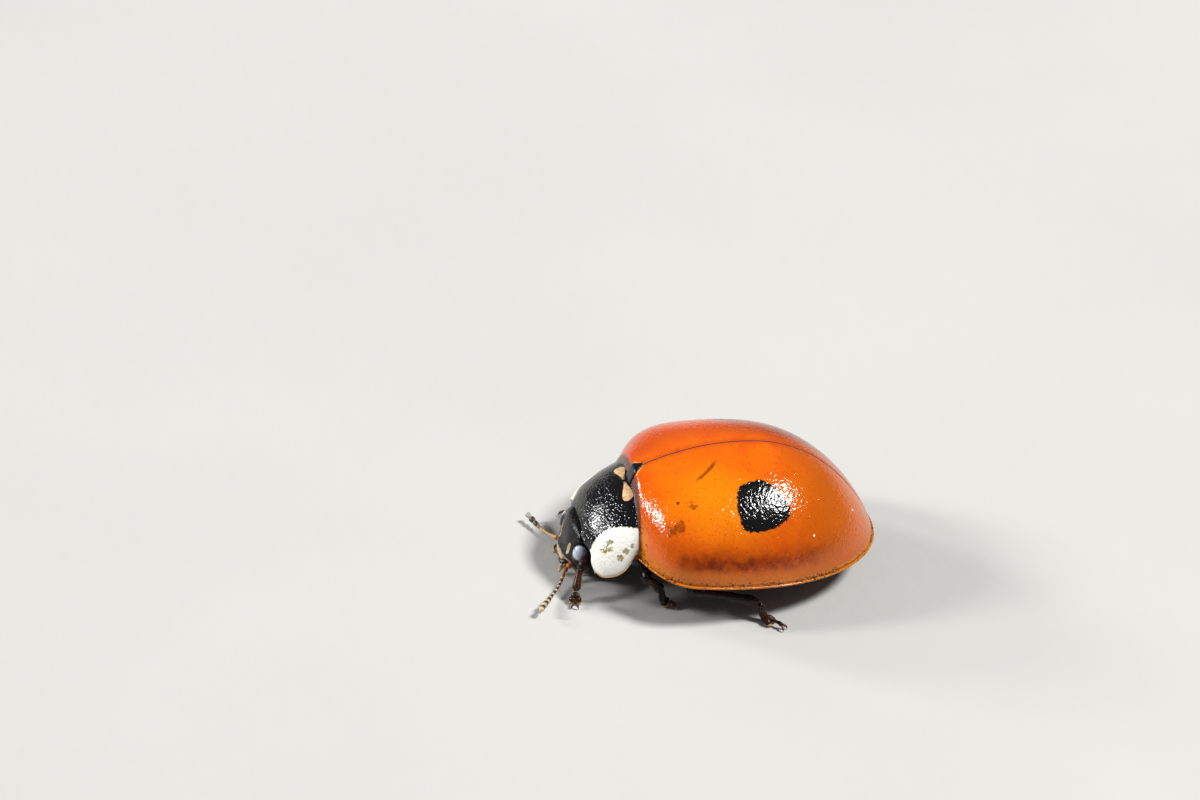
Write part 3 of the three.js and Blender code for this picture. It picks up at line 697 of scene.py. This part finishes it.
# The back stays clear of the wing cases over it.
under_cases = np.maximum(dome_height(trunk[..., 0], np.maximum(trunk[..., 1], 0)) - 0.12, 0)
trunk[..., 2] = np.where(under, trunk[..., 2], np.minimum(trunk[..., 2], under_cases)) - 0.02
ends = [np.broadcast_to(trunk[end].mean(0), (1, *trunk.shape[1:])) for end in (0, -1)]
trunk = np.concatenate([ends[0], trunk, ends[1]])
trunk_grids = [standing(trunk)]


def limb(points, stops, count=26, sides=14, squash=1.0):
    """A round-ended tube along a smooth line. stops are pairs of a share of its way and a radius."""
    shares = (1 - np.cos(np.linspace(0, math.pi, count))) / 2
    line = smooth_line(points, shares)
    run = np.r_[0, np.cumsum(np.linalg.norm(np.diff(line, axis=0), axis=1))]
    radii = np.interp(shares, *zip(*stops))
    for dist, radius in ((run, radii[0]), (run[-1] - run, radii[-1])):
        radii = radii * np.sqrt(1 - (1 - np.clip(dist / radius, 0, 1)) ** 2)
    forward = np.gradient(line, axis=0)
    forward /= np.linalg.norm(forward, axis=1)[:, None]
    sideways = np.cross(forward, (0, 0, 1))
    sideways /= np.linalg.norm(sideways, axis=1)[:, None]
    over = np.cross(sideways, forward)
    turn = np.linspace(0, 2 * math.pi, sides + 1)[:, None]
    return line[:, None] + radii[:, None, None] * (
        sideways[:, None] * np.cos(turn) * squash + over[:, None] * np.sin(turn))


# Where each leg bends, on the floor: x out to its side, y behind the wing cases' front edge.
LEGS = {
    "front_left": [(0.28, -0.36, 0.36), (0.78, -0.84, 0.47), (1.0, -0.93, 0.17), (1.24, -0.98, 0)],
    "mid_left": [(0.42, 0.26, 0.38), (1.45, 0.05, 0.65), (1.21, 0.37, 0.27), (1.33, 0.55, 0)],
    "hind_left": [(0.5, 0.97, 0.36), (1.63, 0.74, 0.5), (1.75, 1.82, 0.33), (2.075, 2.155, 0)],
    "front_right": [(0.28, -0.36, 0.36), (0.85, -0.48, 0.53), (1.05, -0.6, 0.17), (1.34, -0.71, 0)],
    "mid_right": [(0.42, 0.26, 0.38), (1.4, 0.12, 0.62), (1.62, 0.24, 0.19), (1.93, 0.36, 0)],
    "hind_right": [(0.5, 0.97, 0.36), (1.5, 1.06, 0.48), (1.84, 1.5, 0.2), (2.08, 1.82, 0)],
}
leg_grids, leg_marks, leg_coat, leg_reach, claw_grids, pad_grids = [], [], [], [], [], []


def flow(grid):
    """The way along a limb, from its root to its tip, at each of its points."""
    way = np.gradient(grid.mean(1), axis=0)
    way /= np.linalg.norm(way, axis=1)[:, None]
    return np.broadcast_to(way[:, None], grid.shape)


for name, bends in LEGS.items():
    side = 1 if name.endswith("left") else -1
    hip, knee, ankle, toe = (np.array(bend) * (side, 1, 1) - (0, MIDDLE_Y, 0) for bend in bends)
    inner = hip * (0.55, 1, 1) + (0, 0, 0.06)
    thigh = knee - hip
    grids = [limb([inner, (inner + hip) / 2 + (0, 0, -0.03), hip], [(0, 0.13), (0.5, 0.16), (1, 0.12)]),
             limb([hip - 0.02 * thigh, hip + 0.14 * thigh], [(0, 0.09), (1, 0.085)], 14)]
    bow = np.array((0, 0, 0.03))
    grids.append(limb([hip + 0.08 * thigh, hip + 0.5 * thigh + bow, knee + 0.02 * thigh],
                      [(0, 0.07), (0.2, 0.11), (0.5, 0.145), (0.8, 0.13), (1, 0.085)], squash=0.72))
    shin = ankle - knee
    grids.append(limb([knee - 0.01 * shin, knee + 0.5 * shin + bow * 0.6, ankle],
                      [(0, 0.055), (0.12, 0.06), (0.5, 0.07), (0.85, 0.088), (1, 0.07)], squash=0.8))
    foot = (toe - ankle) * (1, 1, 0)
    reach = np.linalg.norm(foot)
    foot /= reach
    beside = np.cross((0, 0, 1), foot)

    def on_foot(share, height, out=0.0):
        return np.array((*(ankle + foot * reach * share + beside * out)[:2], height))

    grids.append(limb([on_foot(-0.02, ankle[2] - 0.01), on_foot(0.16, 0.12), on_foot(0.3, 0.07)],
                      [(0, 0.045), (0.6, 0.062), (1, 0.07)], 18, squash=1.15))
    for out in (1, -1):
        grids.append(limb([on_foot(0.22, 0.1, 0.01 * out), on_foot(0.38, 0.075, 0.045 * out),
                           on_foot(0.54, 0.05, 0.075 * out)],
                          [(0, 0.045), (0.5, 0.055), (1, 0.034)], 16, squash=1.1))
        pad_grids.append(limb([on_foot(0.28, 0.06, 0.03 * out), on_foot(0.42, 0.05, 0.05 * out),
                               on_foot(0.57, 0.043, 0.078 * out)],
                              [(0, 0.03), (0.5, 0.034), (1, 0.026)], 16, squash=1.35))
        claw_grids.append(limb([on_foot(0.87, 0.078, 0.008 * out), on_foot(0.95, 0.082, 0.03 * out),
                                on_foot(1.02, 0.05, 0.05 * out), on_foot(1.03, 0.006, 0.055 * out)],
                               [(0, 0.022), (0.4, 0.017), (0.8, 0.009), (1, 0.003)], 20, 10))
        claw_grids.append(limb([on_foot(0.93, 0.078, 0.024 * out), on_foot(0.965, 0.055, 0.036 * out),
                                on_foot(0.955, 0.03, 0.04 * out)],
                               [(0, 0.014), (0.5, 0.01), (1, 0.003)], 12, 8))
    grids.append(limb([on_foot(0.36, 0.095), on_foot(0.6, 0.1), on_foot(0.78, 0.1), on_foot(0.91, 0.08)],
                      [(0, 0.022), (0.5, 0.026), (0.85, 0.034), (1, 0.028)], 22))
    leg_grids += grids
    amber_part = 1.0 if name.startswith("front") else 0.0
    leg_marks += [0.0, 0.0, 0.05 + 0.5 * amber_part, 0.35 + 0.65 * amber_part, 0.6, 0.6, 0.6, 0.6]
    leg_coat += [30.0, 60.0, 130.0, 300.0, 420.0, 420.0, 420.0, 300.0]
    leg_reach += [0.03, 0.03, 0.035, 0.048, 0.04, 0.036, 0.036, 0.034]

skin = Finish("black_cuticle", Specular_IOR_Level=0.18)
x, y, z = body_place(skin)[1:]
apart = abs(x)
grain = skin.noise(0.03, 3.0)
tone = skin.kept("mark")
black = skin.mix(grain, shade("030303"), shade("100f12"))
brown = skin.mix(grain, shade("2a160a"), shade("5c3517"))
colour = skin.mix(tone * skin.noise(0.3, 2.0).step(0.25, 0.7) * 0.8, black, brown)
# Two cream marks beside the eyes, and the pale front edge of the mouth shield.
on_face = y.step(-0.7, -0.78)
across, down = abs(x - 0.04) - 0.255 - (z + 0.41) * 0.1, z + 0.41
eye_mark = across * across / 0.0018 + down * down / 0.0125
eye_mark = (eye_mark + (skin.noise(0.05, 2.0) - 0.5) * 0.5).step(1.1, 0.85) * on_face
cream = skin.mix(skin.noise(0.06, 3.0).step(0.3, 0.7), shade("9a8466"), shade("c2b08e"))
colour = skin.mix(eye_mark, colour, cream)
fall = abs(z + 0.6 + apart * apart * 0.2 + (skin.noise(0.06, 2.0) - 0.5) * 0.04)
edge_mark = fall.step(0.045, 0.03) * y.step(-0.8, -0.86) * apart.step(0.44, 0.36)
colour = skin.mix(edge_mark * 0.9, colour, skin.mix(grain, shade("9a7f66"), shade("d6bd96")))
relief = skin.bump(skin.cells(0.045, 0.9).step(0.08, 0.45), 0.003)
relief = skin.bump(grain, 0.0045, relief)
skin.set(Base_Color=colour, Normal=relief, Roughness=0.17 + skin.noise(0.08, 2.0) * 0.16)
skin_grids = head_grids + neck + trunk_grids + leg_grids
skin_piece = sewn("skin", skin_grids, skin,
                  rooms=[2.5] * 6 + [0.6] * 6 + [0.8] + [1.2] * len(leg_grids),
                  mark=[0.0] * 13 + leg_marks, coat=[150.0] * 6 + [0.0] * 6 + [under * 120.0] + leg_coat,
                  reach=[0.026] * 12 + [0.05] + leg_reach,
                  lay=[(0.0, -0.25, -1.0)] * 12 + [(0.0, 1.0, -0.05)] + [flow(grid) for grid in leg_grids])
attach(skin_piece, "root")
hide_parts("head", "thorax", "abdomen",
            *(f"{part}_{leg}" for part in ("femur", "tibia", "tarsus") for leg in LEGS))

# -------------------------------------------- claws and foot pads
# Each foot ends in two hooked claws of hard dark-brown cuticle, each with a tooth at its base. The
# second joint of the foot is two-lobed and its soles are golden pads of sticky hair.

horn = Finish("claw_horn", Roughness=0.3)
horn.set(Base_Color=horn.mix(horn.noise(0.04, 2.0), shade("2a1408"), shade("6b3a17")),
         Normal=horn.bump(horn.noise(0.015, 2.0), 0.001))
piece = sewn("claws", claw_grids, horn)
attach(piece, "root")

sole = Finish("sole_hair", Roughness=0.55)
strands = sole.noise(0.012, 2.0)
sole.set(Base_Color=sole.mix(strands, shade("7d5a33"), shade("c9a676")), Normal=sole.bump(strands, 0.004))
pads = sewn("foot_pads", pad_grids, sole, coat=[1100.0] * 12, reach=[0.022] * 12,
            lay=[flow(grid) for grid in pad_grids])
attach(pads, "root")

# -------------------------------------------- feelers
# Eleven small joints each: a stout scape and pedicel, six slender ones and a club of three. They are
# orange-brown at the root, then dark with pale tips to the joints.

FEELERS = {
    "left": [(0.36, -0.8, -0.62), (0.43, -0.93, -0.7), (0.56, -1.0, -0.79), (0.76, -1.1, -0.83),
             (1.0, -1.25, -0.84), (1.24, -1.39, -0.81), (1.46, -1.505, -0.78)],
    "right": [(-0.36, -0.8, -0.62), (-0.42, -0.92, -0.68), (-0.54, -0.97, -0.73), (-0.7, -1.03, -0.775),
              (-0.88, -1.1, -0.8), (-1.06, -1.17, -0.795), (-1.22, -1.24, -0.78)],
}
JOINT_ENDS = [0, 0.13, 0.22, 0.33, 0.41, 0.48, 0.55, 0.62, 0.69, 0.78, 0.88, 1.0]
JOINT_WIDTHS = [0.05, 0.043, 0.029, 0.027, 0.026, 0.026, 0.027, 0.029, 0.043, 0.052, 0.046]
feeler = Finish("feeler_cuticle", Roughness=0.4)
way = feeler.kept("mark")
joint = way.math("FRACT")
out = way / 11
dull = feeler.noise(0.03, 2.0)
amber = feeler.mix(dull, shade("8a4312"), shade("c47422"))
dark = feeler.mix(dull, shade("1d1510"), shade("47382a"))
colour = feeler.mix(out.step(0.12, 0.42), amber, dark)
colour = feeler.mix(joint.step(0.6, 0.8) * out.step(0.1, 0.3) * 0.9, colour, shade("d8c396"))
x = body_place(feeler)[1]
# The right feeler is beige toward its root, and its club is painted pale grey as a painted highlight.
paler_root_and_club_sheen = x.step(-0.3, -0.45) * (out.step(0.72, 0.6) + out.step(0.86, 0.93)) * 0.75
colour = feeler.mix(paler_root_and_club_sheen, colour, feeler.mix(out.step(0.7, 0.9), shade("c09a60"), shade("a9a9a4")))
feeler.set(Base_Color=colour, Normal=feeler.bump(dull, 0.002))
feeler_pieces = []
for name, points in FEELERS.items():
    grids, marks = [], []
    for index, width in enumerate(JOINT_WIDTHS):
        first, last = JOINT_ENDS[index], JOINT_ENDS[index + 1]
        span = smooth_line(points, np.linspace(first, last + 0.012 * (index < 10), 4))
        stops = [(0, width * 0.55), (0.35, width * 0.85), (0.8, width), (1, width * 0.75)]
        grids.append(standing(limb(span, stops, 14, 12)))
        marks.append(index + np.linspace(0.02, 0.98, 14)[:, None] * np.ones(13))
    piece = sewn(f"feeler_{name}", grids, feeler, mark=marks, coat=[260.0] * 11, reach=[0.02] * 11,
                 lay=[flow(grid) for grid in grids])
    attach(piece, "root")
    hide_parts(f"antenna_{name}")
    feeler_pieces.append(piece)

# -------------------------------------------- mouthparts
# A pale upper lip hangs over two dark hooked jaws. A long palp with an axe-shaped tip stands at each
# side, and two short ones behind it.

lip_grids, jaw_grids, palp_grids = [], [], []
LIP, LIP_HALF = (0, -0.935, -0.665), (0.2, 0.045, 0.045)
for face in ball(17):
    lip_grids.append(standing(LIP + np.sign(face) * np.abs(face) ** 0.75 * LIP_HALF))
for side in (1, -1):
    mouth_rows = [
        (jaw_grids, [(0.17, -0.82, -0.7), (0.19, -0.9, -0.73), (0.12, -0.95, -0.75), (0.012, -0.94, -0.75)],
         [(0, 0.045), (0.4, 0.04), (0.8, 0.024), (1, 0.008)], 1.0),
        (palp_grids, [(0.22, -0.8, -0.72), (0.29, -0.87, -0.72)], [(0, 0.022), (1, 0.025)], 1.0),
        (palp_grids, [(0.285, -0.865, -0.72), (0.29, -0.94, -0.73)], [(0, 0.02), (1, 0.028)], 1.0),
        (palp_grids, [(0.29, -0.93, -0.73), (0.27, -0.975, -0.78), (0.24, -0.965, -0.86)],
         [(0, 0.028), (0.5, 0.046), (0.8, 0.056), (1, 0.048)], 0.5),
        (palp_grids, [(0.08, -0.84, -0.8), (0.1, -0.91, -0.83)], [(0, 0.018), (1, 0.015)], 1.0),
    ]
    for kind, line, stops, squash in mouth_rows:
        kind.append(standing(limb(np.array(line) * (side, 1, 1), stops, 18, 12, squash)))
pale = Finish("mouth_cuticle", Roughness=0.42)
dull = pale.noise(0.05, 3.0)
tone = pale.kept("mark")
colour = pale.mix(dull, shade("8f7a5c"), shade("c6b08a"))
pale.set(Base_Color=pale.mix(tone, colour, pale.mix(dull, shade("1c0f08"), shade("43240f"))),
         Normal=pale.bump(dull, 0.003))
piece = sewn("mouth", lip_grids + jaw_grids + palp_grids, pale,
             mark=[0.0] * 6 + [1.0] * 2 + [0.6, 0.7, np.linspace(1, -0.6, 18)[:, None].clip(0, 1), 0.4] * 2)
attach(piece, "root")
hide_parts("mouthparts")

# -------------------------------------------- bristles
# Fine stiff hairs of the same cuticle, golden where thin: short on the face, feelers and feet, longer
# on the shins, a thin nap on the belly, and a dense brush on the soles. Each is rooted in the skin.

tree = bpy.data.node_groups.new("bristles", "GeometryNodeTree")
for label, kind in (("Geometry", "Geometry"), ("Thickness", "Float"), ("Bend", "Float"), ("Lean", "Float"),
                    ("Seed", "Int"), ("Material", "Material")):
    tree.interface.new_socket(label, in_out="INPUT", socket_type="NodeSocket" + kind)
tree.interface.new_socket("Geometry", in_out="OUTPUT", socket_type="NodeSocketGeometry")
grow = Nodes(tree)


def given(label):
    return grow.add("NodeGroupInput", output=label)


def field(name, kind="FLOAT"):
    return grow.add("GeometryNodeInputNamedAttribute", {"data_type": kind}, Name=name)


def kept(geometry, name, value, kind="FLOAT_VECTOR", domain="POINT"):
    return grow.add("GeometryNodeStoreNamedAttribute", {"data_type": kind, "domain": domain},
                    Geometry=geometry, Name=name, Value=value)


roots = grow.add("GeometryNodeDistributePointsOnFaces", Mesh=given("Geometry"), Density=field("coat") * 1e6,
                 Seed=given("Seed"))
upright = Value(tree, roots.socket.node.outputs["Normal"])
rooted = kept(roots, "root", field("OFBake", "FLOAT_VECTOR"))
lay = field("lay", "FLOAT_VECTOR")
stray = grow.add("FunctionNodeRandomValue", {"data_type": "FLOAT_VECTOR"}, _0=(-0.3,) * 3, _1=(0.3,) * 3)
heading = grow.add("ShaderNodeVectorMath", {"operation": "MULTIPLY_ADD"}, _0=lay, _1=given("Lean"),
                   _2=upright)
heading = grow.add("ShaderNodeVectorMath", {"operation": "ADD"}, _0=heading, _1=stray)
turned = grow.add("FunctionNodeAlignRotationToVector", {"axis": "Z"}, Vector=heading)
turned = grow.add("FunctionNodeAlignRotationToVector", {"axis": "X", "pivot_axis": "Z"}, Rotation=turned,
                  Vector=lay)
longer = grow.add("FunctionNodeRandomValue", {"data_type": "FLOAT"}, output=1, _2=0.6, _3=1.25)
size = grow.add("ShaderNodeCombineXYZ", X=given("Thickness"), Y=given("Thickness"),
                Z=field("reach") * longer * MM)
# One hair, a metre long and two across: its place on the unwrap is a small patch around its root.
hair = grow.add("GeometryNodeMeshCone", {"fill_type": "NGON"}, Vertices=3, Side_Segments=3,
                Radius_Top=0.15, Radius_Bottom=1.0, Depth=1.0)
spot_on_hair = grow.add("GeometryNodeInputPosition")
width_on_hair = grow.add("ShaderNodeSeparateXYZ", output=0, Vector=spot_on_hair)
rise_on_hair = grow.add("ShaderNodeSeparateXYZ", output=2, Vector=spot_on_hair)
PATCH = 0.003
patch = grow.add("ShaderNodeCombineXYZ", X=width_on_hair * 0.0012, Y=(rise_on_hair - 0.5) * PATCH)
hair = kept(hair, "patch", patch)
bent = grow.add("ShaderNodeCombineXYZ", X=rise_on_hair * rise_on_hair * given("Bend"))
hair = grow.add("GeometryNodeSetPosition", Geometry=hair, Offset=bent)
grown = grow.add("GeometryNodeInstanceOnPoints", Points=rooted, Instance=hair, Rotation=turned, Scale=size)
grown = grow.add("GeometryNodeRealizeInstances", Geometry=grown)
sunk = grow.add("ShaderNodeSeparateXYZ", output=2, Vector=grow.add("GeometryNodeInputPosition"))
lifted = grow.add("ShaderNodeCombineXYZ", Z=(-sunk).most(0))
grown = grow.add("GeometryNodeSetPosition", Geometry=grown, Offset=lifted)
place = grow.add("ShaderNodeVectorMath", {"operation": "ADD"}, _0=field("root", "FLOAT_VECTOR"),
                 _1=field("patch", "FLOAT_VECTOR"))
grown = kept(grown, "OFBake", place, "FLOAT2", "CORNER")
grown = grow.add("GeometryNodeSetShadeSmooth", Geometry=grown)
grown = grow.add("GeometryNodeSetMaterial", Geometry=grown, Material=given("Material"))
grow.add("NodeGroupOutput", Geometry=grown)

nap = Finish("bristle_cuticle", Roughness=0.4)
dull = nap.noise(0.05, 2.0)
nap.set(Base_Color=nap.mix(dull, shade("6e4a26"), shade("b8925c")), Normal=nap.bump(dull, 0.001))
BRISTLES = [("skin_bristles", skin_piece, 0.0017, 6.0, 0.9, 3, "body_shell"),
            ("sole_bristles", pads, 0.0013, 5.0, 0.6, 5, "leg"),
            ("feeler_left_bristles", feeler_pieces[0], 0.0011, 4.0, 0.7, 7, "feeler"),
            ("feeler_right_bristles", feeler_pieces[1], 0.0011, 4.0, 0.7, 8, "feeler")]
for name, bed, thickness, bend, lean, seed, slot in BRISTLES:
    piece = bpy.data.objects.new(name, bed.data)
    scene.collection.objects.link(piece)
    grower = piece.modifiers.new("bristles", "NODES")
    grower.node_group = tree
    values = {"Thickness": thickness * MM, "Bend": bend, "Lean": lean, "Seed": seed,
              "Material": nap.material}
    for item in tree.interface.items_tree:
        if item.name in values:
            grower[item.identifier] = values[item.name]
    layers = bpy.context.evaluated_depsgraph_get()
    grown_mesh = bpy.data.meshes.new_from_object(
        piece.evaluated_get(layers), preserve_all_data_layers=True, depsgraph=layers)
    piece.modifiers.clear()
    piece.data = grown_mesh
    grown_mesh.name = name
    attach(piece, "root")
